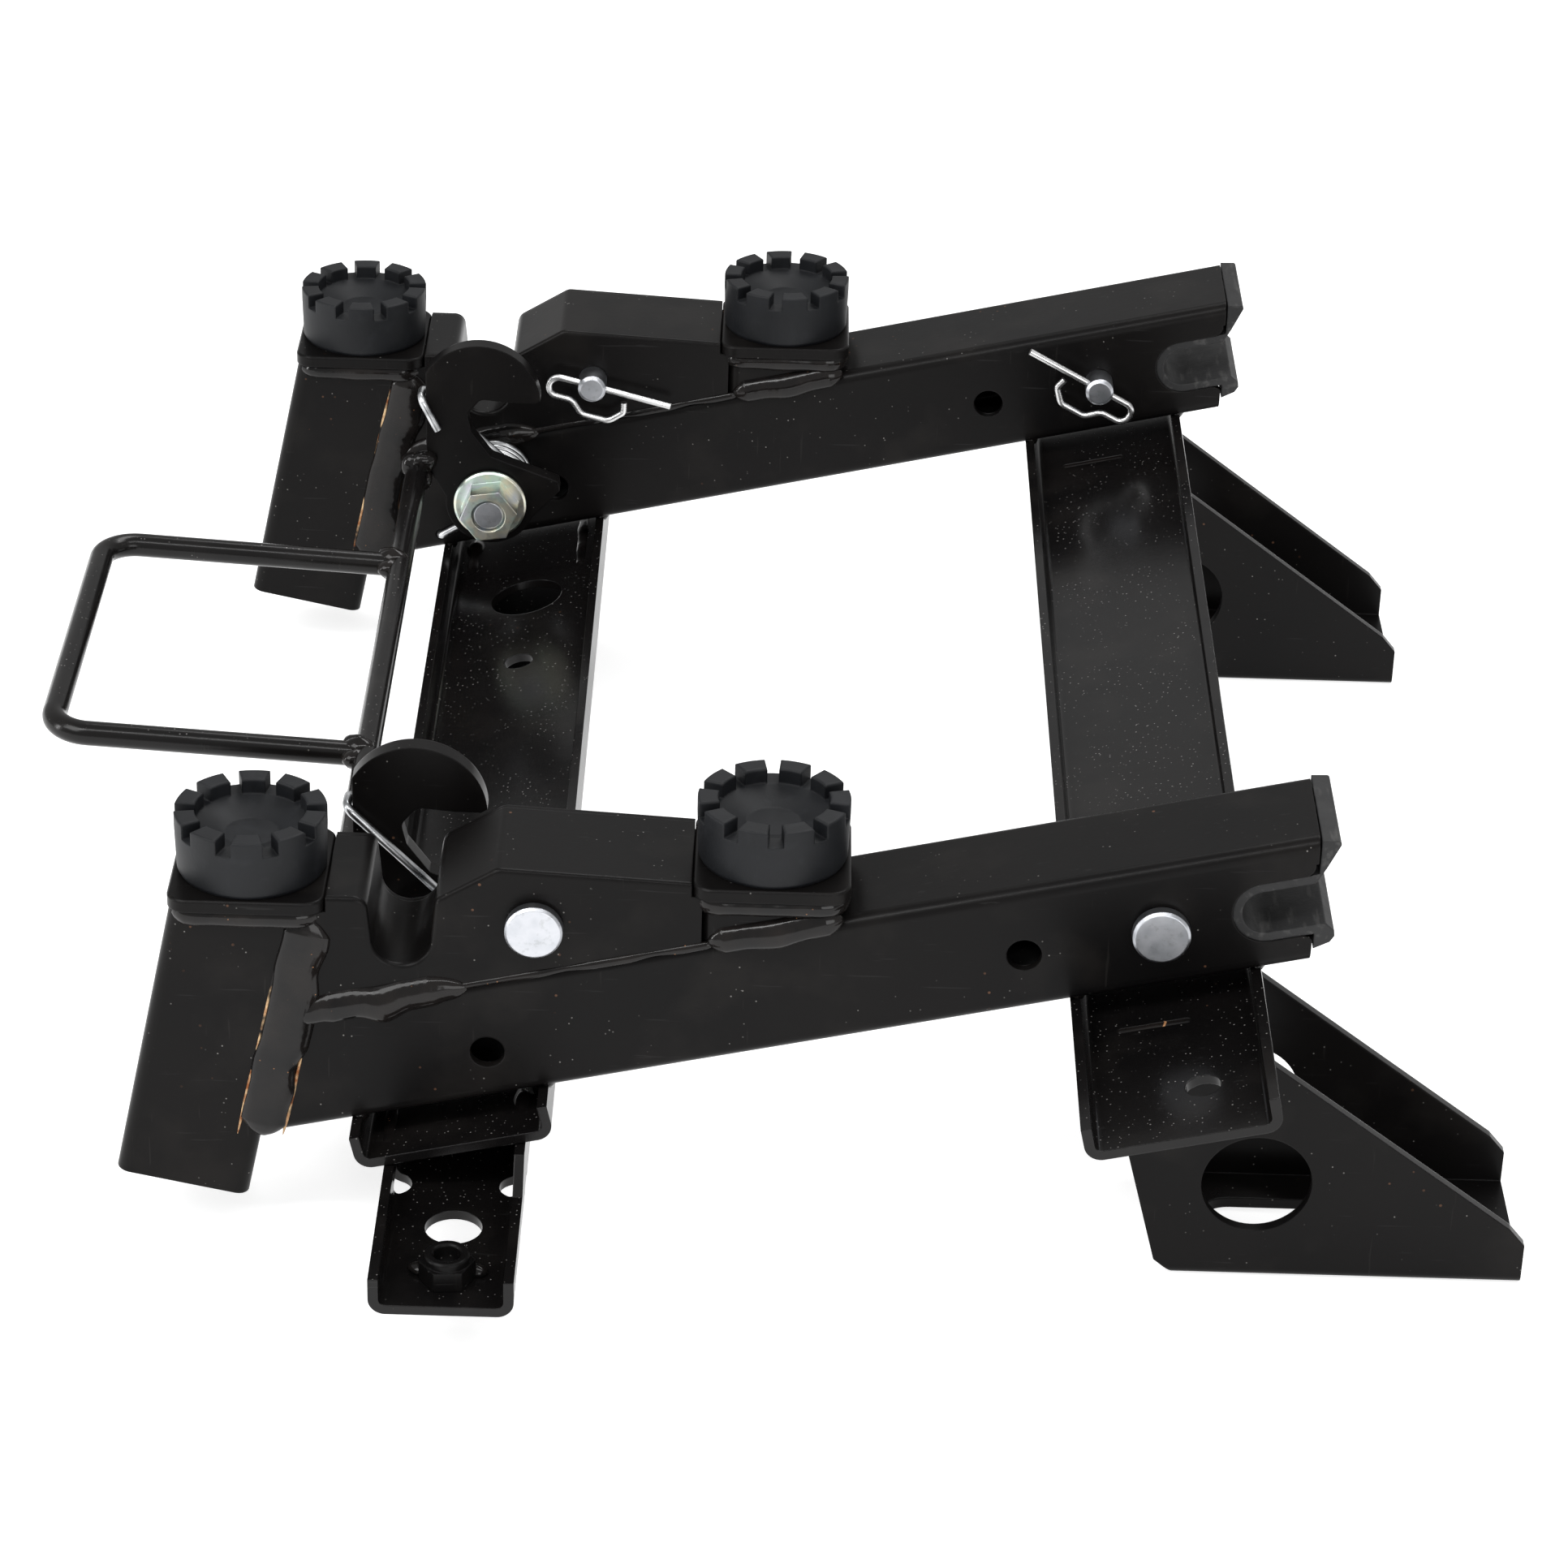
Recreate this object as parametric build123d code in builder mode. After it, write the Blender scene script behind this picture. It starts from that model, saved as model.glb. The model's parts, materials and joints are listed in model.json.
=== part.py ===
from build123d import *
import math
import os

# Latching mount frame of a fifth wheel hitch, in millimetres, +Z up.
# Origin: centre of the footprint at the height of the wedge brackets' floors.
# +X runs from the release handle to the wedge brackets, the two sides lie at -Y (left) and +Y (right).

# ---- driving dimensions ----
side_y = 192.0
tube = 40.0
tube_wall = 3.0
tube_corner = 4.0
rail_tilt = 13.0
rail_ref = (10.6, 71.9)
rail_end_x = 160.6
leg_lean = 11.5
leg_foot = (-170.9, 18.35)
leg_length = 120.0

pad_radius = 22.4
pad_body = 14.2
pad_tooth = 4.8
pad_height = pad_body + pad_tooth
pad_teeth = 10
pad_rim = 0.72 * pad_radius
pad_bowl_floor = 0.36 * pad_radius
pad_bowl_depth = 3.6
cap_size = 46.0
cap_thick = 4.0
front_pad = (-149.4, 137.35)
rear_pad = (3.3, 145.95)

sheet = 3.0
plate_gap = 0.6
saddle_left = -126.2
saddle_right = -19.9
saddle_flat_z = 119.05
notch_x = -104.4
notch_bottom_z = 96.85
notch_radius = 8.7
notch_flare = 1.3
ramp_top = (-76.4, 130.05)
saddle_end_z = 127.05

pin_radius = 5.0
pin_hole_radius = 5.08
pin_head_radius = 8.5
pin_head = 4.5
pin_tip = 9.7
front_pin = (-65.5, 111.55)
rear_pin_u = 113.2
rear_pin_w = 19.3
clip_wire = 1.2
clip_hole_radius = 1.28
clip_inset = 5.8
front_clip_direction = (0.968, -0.25)
rear_clip_directions = {-1: (-0.97, 0.25), 1: (-0.88, 0.475)}
side_hole_radius = 5.15
side_holes = ((-88.5, 16.1), (72.8, 18.6))

slot_start_u = 134.3
slot_w = 19.2
slot_half = 9.75
slot_mouth_radius = 3.5
liner_thick = 2.8
liner_lip_radius = 1.0

front_channel_u = -103.7
front_channel_width = 60.0
front_channel_half = 221.5
rear_channel_u = 111.4
rear_channel_width = 56.4
rear_channel_half = 280.0
front_channel_holes = ((-102.4, 135.8, 13.0), (-102.4, 86.2, 5.25))
rear_channel_holes = ((118.4, 254.9, 5.25),)
channel_height = 11.0
channel_corner = 5.0

foot_x = -88.4
foot_width = 42.0
foot_z = 20.9
foot_flange = 11.8
foot_outer_y = 280.0
foot_inner_y = 112.0
foot_nut_y = 265.5
foot_hole_y = 239.5
foot_relief_y = 217.5
foot_relief_radius = 5.8
foot_hole_radius = 8.5
weld_nut_radius = 4.0
weld_nut_height = 9.0
weld_nut_hex_height = 6.4
weld_nut_flat = 7.2
weld_nut_collar_radius = 6.7

wedge_width = 54.0
wedge_sheet = 3.5
wedge_hole = (150.1, 33.4)
wedge_hole_radius = 16.5
wedge_front = (101.1, 121.1)

pivot = (-100.9, 74.55)
pivot_radius = 6.0
pivot_bore_radius = 6.06
sleeve_radius = 8.5
pivot_play = 0.4
nut_flange_radius = 13.0
nut_across_flats = 18.0
nut_height = 11.6
hook_inner_y = 144.3
hook_thick = 6.0
hook_outer_y = hook_inner_y + hook_thick
rod_radius = 4.0
cross_rod = (-126.9, 87.05)
handle_half = 67.5
handle_tip = (-227.9, 92.35)
handle_bend = 12.0
spring_wire = 1.4
spring_radius = 12.0
spring_coil = (154.4, 169.2)
spring_full_turns = 4
spring_hook_point = (-125.4, 115.35)
spring_anchor = (-120.9, 47.55)
anchor_hole_radius = 1.8

cos_t = math.cos(math.radians(rail_tilt))
sin_t = math.sin(math.radians(rail_tilt))
cos_l = math.cos(math.radians(leg_lean))
sin_l = math.sin(math.radians(leg_lean))
tan_t = sin_t / cos_t
tan_l = sin_l / cos_l
tube_half = tube / 2
inner_face_y = side_y - tube_half
outer_face_y = side_y + tube_half
rear_pin = (
    rail_ref[0] + rear_pin_u * cos_t - rear_pin_w * sin_t,
    rail_ref[1] + rear_pin_u * sin_t + rear_pin_w * cos_t,
)

os.makedirs("parts", exist_ok=True)


def save(part, name):
    """Label a finished piece and write its STEP file."""
    part.label = name
    export_step(part, f"parts/{name}.step")


def side_plane(y):
    """Vertical plane at y, with local axes along X and Z."""
    return Plane(origin=(0, y, 0), x_dir=(1, 0, 0), z_dir=(0, -1, 0))


def rail_side_plane(y):
    """Vertical plane at y with local axes along the rail and square to it, zero at the rail's underside."""
    return Plane(origin=(rail_ref[0], y, rail_ref[1]), x_dir=(cos_t, 0, sin_t), z_dir=(0, -1, 0))


def rail_section_plane(y, u):
    """Plane square to the rail at distance u along it, local axes along Y and square to the rail."""
    origin = (rail_ref[0] + u * cos_t, y, rail_ref[1] + u * sin_t)
    return Plane(origin=origin, x_dir=(0, 1, 0), z_dir=(cos_t, 0, sin_t))


def rail_floor_plane(depth):
    """Plane parallel to the rail's underside, the given depth below it, local axes along the rail and -Y."""
    origin = (rail_ref[0] + depth * sin_t, 0, rail_ref[1] - depth * cos_t)
    return Plane(origin=origin, x_dir=(cos_t, 0, sin_t), z_dir=(-sin_t, 0, cos_t))


def leg_plane(y, along):
    """Plane square to the leg at a distance up its axis."""
    origin = (leg_foot[0] + along * sin_l, y, leg_foot[1] + along * cos_l)
    return Plane(origin=origin, x_dir=(cos_l, 0, -sin_l), z_dir=(sin_l, 0, cos_l))


def rail_top_z(x):
    """Height of the rail's top face at x."""
    return rail_ref[1] + (x - rail_ref[0]) * tan_t + tube / cos_t


def channel_under_z(x):
    """Height of the cross channels' lower face at x."""
    return rail_ref[1] + (x - rail_ref[0]) * tan_t - channel_height / cos_t


def leg_face_x(z):
    """Position of the leg's rear face at height z."""
    return leg_foot[0] + (z - leg_foot[1]) * tan_l + tube_half / cos_l


def rail_end_u(w):
    """Distance along the rail of its upright end face, at height w above the underside."""
    return (rail_end_x - rail_ref[0] + w * sin_t) / cos_t


# ---- square tube section, shared by rails, legs and posts ----
with BuildSketch() as tube_section:
    RectangleRounded(tube, tube, tube_corner)
    tube_bore = tube - 2 * tube_wall
    RectangleRounded(tube_bore, tube_bore, tube_corner - tube_wall / 2, mode=Mode.SUBTRACT)


# ---- side rails: tilted square tube, cut to the leg in front, upright behind, slotted for the rear bar ----
def make_rail(name, sign):
    y = sign * side_y
    foot = (leg_foot[0] + tube_half * cos_l, y, leg_foot[1] - tube_half * sin_l)
    leg_face = Plane(origin=foot, z_dir=(cos_l, 0, -sin_l))
    low = slot_w - slot_half
    high = slot_w + slot_half
    end_low = rail_end_u(low)
    end_high = rail_end_u(high)
    centre_u = slot_start_u + slot_half
    r = slot_mouth_radius
    with BuildPart() as rail:
        with BuildSketch(rail_section_plane(y, -190)):
            with Locations((0, tube_half)):
                add(tube_section.sketch)
        extrude(amount=370)
        split(bisect_by=leg_face, keep=Keep.TOP)
        split(bisect_by=Plane(origin=(rail_end_x, 0, 0), z_dir=(1, 0, 0)), keep=Keep.BOTTOM)
        with BuildSketch(rail_side_plane(y)):
            with Locations(*side_holes):
                Circle(side_hole_radius)
            with Locations((rear_pin_u, rear_pin_w)):
                Circle(pin_hole_radius)
        extrude(amount=tube, both=True, mode=Mode.SUBTRACT)
        with BuildSketch(rail_side_plane(y)):
            with BuildLine():
                ThreePointArc((centre_u, high), (slot_start_u, slot_w), (centre_u, low))
                Line((centre_u, low), (end_low - r, low))
                ThreePointArc((end_low - r, low), (end_low - 0.3 * r, low - 0.3 * r), (end_low, low - r))
                beyond = end_high + 3
                Polyline((end_low, low - r), (beyond, low - r), (beyond, high + r), (end_high, high + r))
                bend = 0.3 * r
                ThreePointArc((end_high, high + r), (end_high - bend, high + bend), (end_high - r, high))
                Line((end_high - r, high), (centre_u, high))
            make_face()
        extrude(amount=tube, both=True, mode=Mode.SUBTRACT)
        with BuildSketch(side_plane(sign * (inner_face_y - 1))):
            with Locations(spring_anchor):
                Circle(anchor_hole_radius)
        extrude(amount=-sign * (tube_wall + 2), mode=Mode.SUBTRACT)
    save(rail.part, f"side_rail_{name}")


# ---- legs: square tube leaning back, cut square at the foot and level under the cap plate ----
def make_leg(name, sign):
    top = front_pad[1] - pad_height - cap_thick
    with BuildPart() as leg:
        with BuildSketch(leg_plane(sign * side_y, 0)):
            add(tube_section.sketch)
        extrude(amount=leg_length)
        split(bisect_by=Plane.XY.offset(top), keep=Keep.BOTTOM)
    save(leg.part, f"leg_{name}")


# ---- rear posts: short upright tube standing on the rail ----
def make_post(name, sign):
    y = sign * side_y
    top = rear_pad[1] - pad_height - cap_thick
    rail_top = Plane(origin=(rear_pad[0], y, rail_top_z(rear_pad[0])), z_dir=(-sin_t, 0, cos_t))
    with BuildPart() as post:
        with BuildSketch(Plane(origin=(rear_pad[0], y, top - tube))):
            add(tube_section.sketch)
        extrude(amount=tube)
        split(bisect_by=rail_top, keep=Keep.TOP)
    save(post.part, f"rear_post_{name}")


# ---- cap plates and the toothed rubber cup pads bonded to them ----
def make_cap_plate(name, place, sign):
    x, top = place
    with BuildPart() as plate:
        with BuildSketch(Plane(origin=(x, sign * side_y, top - pad_height - cap_thick))):
            RectangleRounded(cap_size, cap_size, 6)
        extrude(amount=cap_thick)
        chamfer(plate.edges().group_by(Axis.Z)[-1], 0.6)
    save(plate.part, f"cap_plate_{name}")


def make_pad(name, place, sign, tooth_angle):
    x, top = place
    y = sign * side_y
    base = top - pad_height
    rim_z = base + pad_body
    pitch = 360 / pad_teeth
    with BuildSketch() as tooth:
        Circle(pad_radius)
        Circle(pad_rim + 0.2, mode=Mode.SUBTRACT)
        with BuildLine():
            reach = 2 * pad_radius
            half = math.radians(pitch / 3)
            Polyline(
                (0, 0),
                (reach * math.cos(half), -reach * math.sin(half)),
                (reach * math.cos(half), reach * math.sin(half)),
                (0, 0),
            )
        make_face(mode=Mode.INTERSECT)
    with BuildPart() as pad:
        with BuildSketch(Plane(origin=(x, y, 0), x_dir=(1, 0, 0), z_dir=(0, -1, 0))):
            with BuildLine():
                Polyline(
                    (0, base),
                    (pad_radius - 1.0, base),
                    (pad_radius - 0.4, base + 1.2),
                    (pad_radius, rim_z),
                    (pad_rim, rim_z),
                    (pad_bowl_floor, rim_z - pad_bowl_depth),
                    (0, rim_z - pad_bowl_depth),
                    (0, base),
                )
            make_face()
        revolve(axis=Axis((x, y, 0), (0, 0, 1)))
        with BuildSketch(Plane(origin=(x, y, rim_z))):
            for step in range(pad_teeth):
                add(tooth.sketch.rotate(Axis.Z, tooth_angle + step * pitch))
        extrude(amount=pad_tooth)
        fillet(pad.edges().group_by(Axis.Z)[-1], 0.6)
    save(pad.part, f"cup_pad_{name}")


# ---- saddle: pressed bracket with the front bar's notch, closed by a separate side plate ----
def saddle_face(drop):
    """Side outline of the saddle from the front cap plate to the rear post, its top lowered by drop."""
    flat_z = saddle_flat_z - drop
    arc_z = notch_bottom_z + notch_radius - drop
    left_wall = notch_x - notch_radius
    right_wall = notch_x + notch_radius
    under_cap = front_pad[1] - pad_height - cap_thick - 0.2
    under_rear_cap = rear_pad[1] - pad_height - cap_thick - 0.2
    leg_top = leg_face_x(under_cap) + 0.2
    leg_low = leg_face_x(rail_top_z(saddle_left) - 3) + 0.2
    post_face = rear_pad[0] - tube_half - 0.1
    with BuildSketch() as outline:
        with BuildLine():
            FilletPolyline(
                (saddle_left, flat_z), (left_wall - notch_flare, flat_z), (left_wall, arc_z), radius=4
            )
            ThreePointArc((left_wall, arc_z), (notch_x, arc_z - notch_radius), (right_wall, arc_z))
            FilletPolyline(
                (right_wall, arc_z),
                (right_wall + notch_flare, flat_z),
                (ramp_top[0], ramp_top[1] - drop),
                (saddle_right, saddle_end_z - drop),
                radius=4,
            )
            Polyline(
                (saddle_right, saddle_end_z - drop),
                (saddle_right, under_rear_cap),
                (post_face, under_rear_cap),
                (post_face, rail_top_z(post_face)),
                (leg_low, rail_top_z(leg_low)),
                (leg_top, under_cap),
                (saddle_left, under_cap),
                (saddle_left, flat_z),
            )
        make_face()
    return outline.sketch


def make_saddle(name, sign):
    y = sign * side_y
    outline = saddle_face(0)
    plate_outline = saddle_face(0.8)
    floor_left = saddle_left - 8
    floor_right = saddle_right + 1
    with BuildPart() as saddle:
        with BuildSketch(side_plane(y - tube_half + sheet)):
            add(outline)
            with Locations(front_pin):
                Circle(pin_hole_radius, mode=Mode.SUBTRACT)
        extrude(amount=sheet)
        with BuildSketch(side_plane(y + tube_half - sheet)):
            add(outline)
            offset(outline, amount=-sheet, mode=Mode.SUBTRACT)
            with BuildLine():
                Polyline(
                    (floor_left, rail_top_z(floor_left) + 2 * sheet),
                    (floor_right, rail_top_z(floor_right) + 2 * sheet),
                    (floor_right, rail_top_z(floor_right) - sheet),
                    (floor_left, rail_top_z(floor_left) - sheet),
                    (floor_left, rail_top_z(floor_left) + 2 * sheet),
                )
            make_face(mode=Mode.SUBTRACT)
        extrude(amount=tube - 2 * sheet)
        rim = saddle.faces().sort_by(Axis.Y)[0].outer_wire().edges()
        rim = [e for e in rim if e.center().Z > rail_top_z(e.center().X) + 9]
        rim = [e for e in rim if saddle_left + 1 < e.center().X < saddle_right - 1]
        fillet(rim, 1.5)
    save(saddle.part, f"saddle_{name}")
    with BuildPart() as plate:
        with BuildSketch(side_plane(y + tube_half)):
            add(plate_outline)
            with Locations(front_pin):
                Circle(pin_hole_radius, mode=Mode.SUBTRACT)
        extrude(amount=sheet - plate_gap)
    save(plate.part, f"saddle_plate_{name}")


# ---- cross channels: pressed U sections, flanges up, welded under the rails ----
def make_channel(name, u, width, half_span, holes):
    """holes are (u, y, radius) in the floor, repeated on both sides."""
    with BuildPart() as channel:
        with BuildSketch(rail_side_plane(0)):
            with Locations((u, 0)):
                RectangleRounded(width, 2 * channel_height, channel_corner)
                bore_size = (width - 2 * sheet, 2 * (channel_height - sheet))
                RectangleRounded(*bore_size, channel_corner - sheet, mode=Mode.SUBTRACT)
            with Locations((u, channel_height)):
                Rectangle(width + 2, 2 * channel_height, mode=Mode.SUBTRACT)
        extrude(amount=half_span, both=True)
        for hole_u, hole_y, radius in holes:
            with BuildSketch(rail_floor_plane(channel_height + 1)):
                with Locations((hole_u, -hole_y), (hole_u, hole_y)):
                    Circle(radius)
            extrude(amount=sheet + 2, mode=Mode.SUBTRACT)
    save(channel.part, name)


# ---- foot brackets: level U channels under the front channel ----
def make_foot(name, sign):
    right = foot_x + foot_width / 2
    top = foot_z + foot_flange
    lift = channel_under_z(right - sheet) - top - 0.1
    length = foot_outer_y - foot_inner_y
    with BuildPart() as foot:
        with BuildSketch(side_plane(sign * (foot_inner_y + length / 2))):
            with Locations((foot_x, foot_z + foot_flange)):
                RectangleRounded(foot_width, 2 * foot_flange, channel_corner)
                bore_size = (foot_width - 2 * sheet, 2 * (foot_flange - sheet))
                RectangleRounded(*bore_size, channel_corner - sheet, mode=Mode.SUBTRACT)
            with Locations((foot_x, foot_z + 2 * foot_flange)):
                Rectangle(foot_width + 2, 2 * foot_flange, mode=Mode.SUBTRACT)
        extrude(amount=length / 2, both=True)
        with BuildSketch(Plane(origin=(right, 0, 0), x_dir=(0, sign, 0), z_dir=(sign, 0, 0))):
            with BuildLine():
                Polyline(
                    (foot_inner_y, top - 1), (236, top - 1), (236, top), (227, top + lift),
                    (foot_inner_y, top + lift), (foot_inner_y, top - 1),
                )
            make_face()
        extrude(amount=-sign * sheet)
        with BuildSketch(Plane(origin=(foot_x, 0, foot_z - 1))):
            with Locations((0.9, sign * foot_hole_y)):
                Circle(foot_hole_radius)
            with Locations((0.9, sign * foot_nut_y)):
                Circle(4.2)
        extrude(amount=sheet + 2, mode=Mode.SUBTRACT)
        with BuildSketch(Plane(origin=(foot_x, 0, foot_z - 1))):
            with Locations((-18.8, sign * foot_relief_y), (18.8, sign * foot_relief_y)):
                Circle(foot_relief_radius)
        extrude(amount=7, mode=Mode.SUBTRACT)
    save(foot.part, f"foot_bracket_{name}")
    nut_base = Plane(origin=(foot_x + 0.9, sign * foot_nut_y, foot_z + sheet))
    with BuildPart() as nut:
        with BuildSketch(nut_base):
            RegularPolygon(weld_nut_flat, 6, major_radius=False, rotation=5)
        extrude(amount=weld_nut_hex_height)
        with BuildSketch(nut_base):
            Circle(weld_nut_collar_radius)
        extrude(amount=weld_nut_height)
        with BuildSketch(nut_base):
            Circle(weld_nut_radius)
        extrude(amount=weld_nut_height, mode=Mode.SUBTRACT)
        chamfer(nut.edges().filter_by(GeomType.CIRCLE).group_by(Axis.Z)[-1], 0.6)
    save(nut.part, f"weld_nut_{name}")


# ---- wedge brackets: folded sections under the rear channel with a large cross bore ----
def make_wedge(name, sign):
    y = sign * side_y
    half = wedge_width / 2
    top_left = wedge_front[0]
    with BuildPart() as wedge:
        with BuildSketch(side_plane(y)):
            with BuildLine():
                Polyline(
                    (top_left, channel_under_z(top_left)),
                    (133.6, channel_under_z(133.6)),
                    (227.1, 19.6),
                    (231.9, 13.9),
                    (231.9, 0),
                    (127.6, 0),
                    (wedge_front[1], 5.4),
                    (top_left, channel_under_z(top_left)),
                )
            make_face()
        extrude(amount=half, both=True)
        fillet(wedge.edges().filter_by(Axis.X).group_by(Axis.Z)[0], 3)
        with BuildSketch(side_plane(y)):
            with BuildLine():
                Polyline(
                    (top_left + wedge_sheet, 100),
                    (top_left + wedge_sheet, channel_under_z(top_left)),
                    (wedge_front[1] + wedge_sheet, 6.4),
                    (129, wedge_sheet),
                    (240, wedge_sheet),
                    (240, 100),
                    (top_left + wedge_sheet, 100),
                )
            make_face()
        extrude(amount=half - wedge_sheet, both=True, mode=Mode.SUBTRACT)
        with BuildSketch(side_plane(y)):
            with Locations(wedge_hole):
                Circle(wedge_hole_radius)
        extrude(amount=half + 1, both=True, mode=Mode.SUBTRACT)
        with BuildSketch(Plane(origin=(164, y, -1))):
            SlotOverall(54, 20)
        extrude(amount=wedge_sheet + 2, mode=Mode.SUBTRACT)
    save(wedge.part, f"wedge_bracket_{name}")


# ---- rubber liner of the rear bar's slot, with a lip over the rail's end ----
def make_liner(name, sign):
    y = sign * side_y
    outer = slot_half - 0.05
    inner = outer - liner_thick
    centre_u = slot_start_u + slot_half
    low = slot_w - outer
    high = slot_w + outer
    end_gap = 0.5
    with BuildPart() as liner:
        with BuildSketch(rail_side_plane(y)):
            with BuildLine():
                ThreePointArc((centre_u, high), (centre_u - outer, slot_w), (centre_u, low))
                Polyline(
                    (centre_u, low),
                    (rail_end_u(low) + end_gap, low),
                    (rail_end_u(4.6) + end_gap, 4.6),
                    (160.6, 5.9),
                    (162.3, 7.6),
                    (162.5, 9.4),
                    (160.4, slot_w - inner),
                    (centre_u, slot_w - inner),
                )
                deepest = (centre_u - inner, slot_w)
                ThreePointArc((centre_u, slot_w - inner), deepest, (centre_u, slot_w + inner))
                Polyline(
                    (centre_u, slot_w + inner),
                    (159.6, slot_w + inner),
                    (163.4, 30.4),
                    (169.6, 38.4),
                    (rail_end_u(39.6) + end_gap, 39.6),
                    (rail_end_u(high) + end_gap, high),
                    (centre_u, high),
                )
            make_face()
        extrude(amount=tube_half - 0.3, both=True)
        fillet(liner.edges().filter_by(Axis.Y).sort_by(Axis.X)[-1], liner_lip_radius)
    save(liner.part, f"slot_liner_{name}")


# ---- clevis pins and their hairpin clips ----
def make_pin(name, place, sign, direction):
    """Headed pin through the saddle or rail, drilled near its tip for the hairpin clip."""
    x, z = place
    outer = outer_face_y + 0.3
    clip_y = inner_face_y - clip_inset
    clip_plane = Plane(origin=(x, sign * clip_y, z), x_dir=(0, 1, 0), z_dir=(direction[0], 0, direction[1]))
    with BuildPart() as pin:
        with BuildSketch(side_plane(sign * outer)):
            with Locations((x, z)):
                Circle(pin_head_radius)
        extrude(amount=-sign * pin_head)
        chamfer(pin.edges(), 0.8)
        with BuildSketch(side_plane(sign * outer)):
            with Locations((x, z)):
                Circle(pin_radius)
        extrude(amount=sign * (outer - inner_face_y + pin_tip))
        rims = pin.edges().filter_by(GeomType.CIRCLE).sort_by(Axis.Y)
        chamfer(rims[0] if sign > 0 else rims[-1], 1.0)
        with BuildSketch(clip_plane):
            Circle(clip_hole_radius)
        extrude(amount=2 * pin_radius, both=True, mode=Mode.SUBTRACT)
    save(pin.part, f"clevis_pin_{name}")


def make_clip(name, place, sign, direction):
    """Bent wire: a straight leg through the pin, an eye, and a bowed leg that closes round the pin."""
    x, z = place
    facing = -1 if direction[0] > 0 else 1
    plane = Plane(
        origin=(x, sign * (inner_face_y - clip_inset), z),
        x_dir=(direction[0], 0, direction[1]),
        z_dir=(0, facing, 0),
    )
    with BuildPart() as clip:
        with BuildLine(plane) as path:
            FilletPolyline(
                (29, 0), (-15, 0), (-15, -7.4), (-5.5, -7.4),
                (-1, -11.8), (9, -11.8), (13.5, -7), (12.6, -3.2),
                radius=[3.6, 3.6, 4, 4, 4.5, 1.8],
            )
        with BuildSketch(Plane(origin=path.line @ 0, z_dir=path.line % 0)):
            Circle(clip_wire)
        sweep()
    save(clip.part, f"hairpin_clip_{name}")


# ---- hook pivots: stud, spacer sleeve and flange nut ----
def make_pivot(name, sign):
    with BuildPart() as stud:
        with BuildSketch(side_plane(sign * inner_face_y)):
            with Locations(pivot):
                Circle(pivot_radius)
        extrude(amount=sign * (inner_face_y - hook_inner_y + pivot_play + nut_height - 0.8))
        rims = stud.edges().filter_by(GeomType.CIRCLE).sort_by(Axis.Y)
        chamfer(rims[0] if sign > 0 else rims[-1], 1.0)
    save(stud.part, f"pivot_stud_{name}")
    with BuildPart() as sleeve:
        with BuildSketch(side_plane(sign * inner_face_y)):
            with Locations(pivot):
                Circle(sleeve_radius)
                Circle(pivot_radius, mode=Mode.SUBTRACT)
        extrude(amount=sign * (inner_face_y - hook_outer_y - pivot_play))
    save(sleeve.part, f"spacer_sleeve_{name}")
    with BuildPart() as nut:
        with BuildSketch(side_plane(sign * (hook_inner_y - pivot_play))):
            with Locations(pivot):
                Circle(nut_flange_radius)
        extrude(amount=sign * 2.4)
        chamfer(nut.edges().filter_by(GeomType.CIRCLE), 0.7)
        with BuildSketch(side_plane(sign * (hook_inner_y - pivot_play))):
            with Locations(pivot):
                RegularPolygon(nut_across_flats / 2, 6, major_radius=False, rotation=8)
        extrude(amount=sign * nut_height)
        with BuildSketch(side_plane(sign * (hook_inner_y - pivot_play + 1))):
            with Locations(pivot):
                Circle(pivot_radius)
        extrude(amount=sign * (nut_height + 3), mode=Mode.SUBTRACT)
    save(nut.part, f"flange_nut_{name}")


# ---- latch hooks: flame-cut plates, one inside each rail ----
def make_hook(name, sign):
    px, pz = pivot
    with BuildPart() as hook:
        with BuildSketch(side_plane(sign * (hook_inner_y + hook_thick / 2))):
            with BuildLine():
                ThreePointArc((px - 22.8, pz + 49.8), (px - 4.0, pz + 60.8), (px + 17.9, pz + 40.4))
                Polyline(
                    (px + 17.9, pz + 40.4),
                    (px + 15.9, pz + 39.2),
                    (px + 7.8, pz + 39.3),
                    (px - 3.4, pz + 40.3),
                    (px - 8.2, pz + 34.4),
                    (px - 6.6, pz + 27.5),
                    (px + 0.3, pz + 18.0),
                    (px + 6.5, pz + 15.5),
                    (px + 24.5, pz + 8.7),
                    (px + 25.0, pz + 5.3),
                    (px + 15.0, pz - 5.6),
                )
                ThreePointArc((px + 15.0, pz - 5.6), (px, pz - 16.0), (px - 15.9, pz + 1.8))
                Polyline(
                    (px - 15.9, pz + 1.8),
                    (px - 21.8, pz + 12.5),
                    (px - 22.8, pz + 22.8),
                    (px - 22.8, pz + 49.8),
                )
            make_face()
            with Locations(pivot):
                Circle(pivot_bore_radius, mode=Mode.SUBTRACT)
        extrude(amount=hook_thick / 2, both=True)
        mouth = hook.edges().filter_by(Axis.Y).filter_by_position(Axis.X, px - 20, px - 2)
        fillet(mouth.filter_by_position(Axis.Z, pz + 25, pz + 42), 3)
        fillet(hook.edges().filter_by(Axis.Y).sort_by(Axis.X)[-2:], 1.2)
    save(hook.part, f"latch_hook_{name}")


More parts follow.
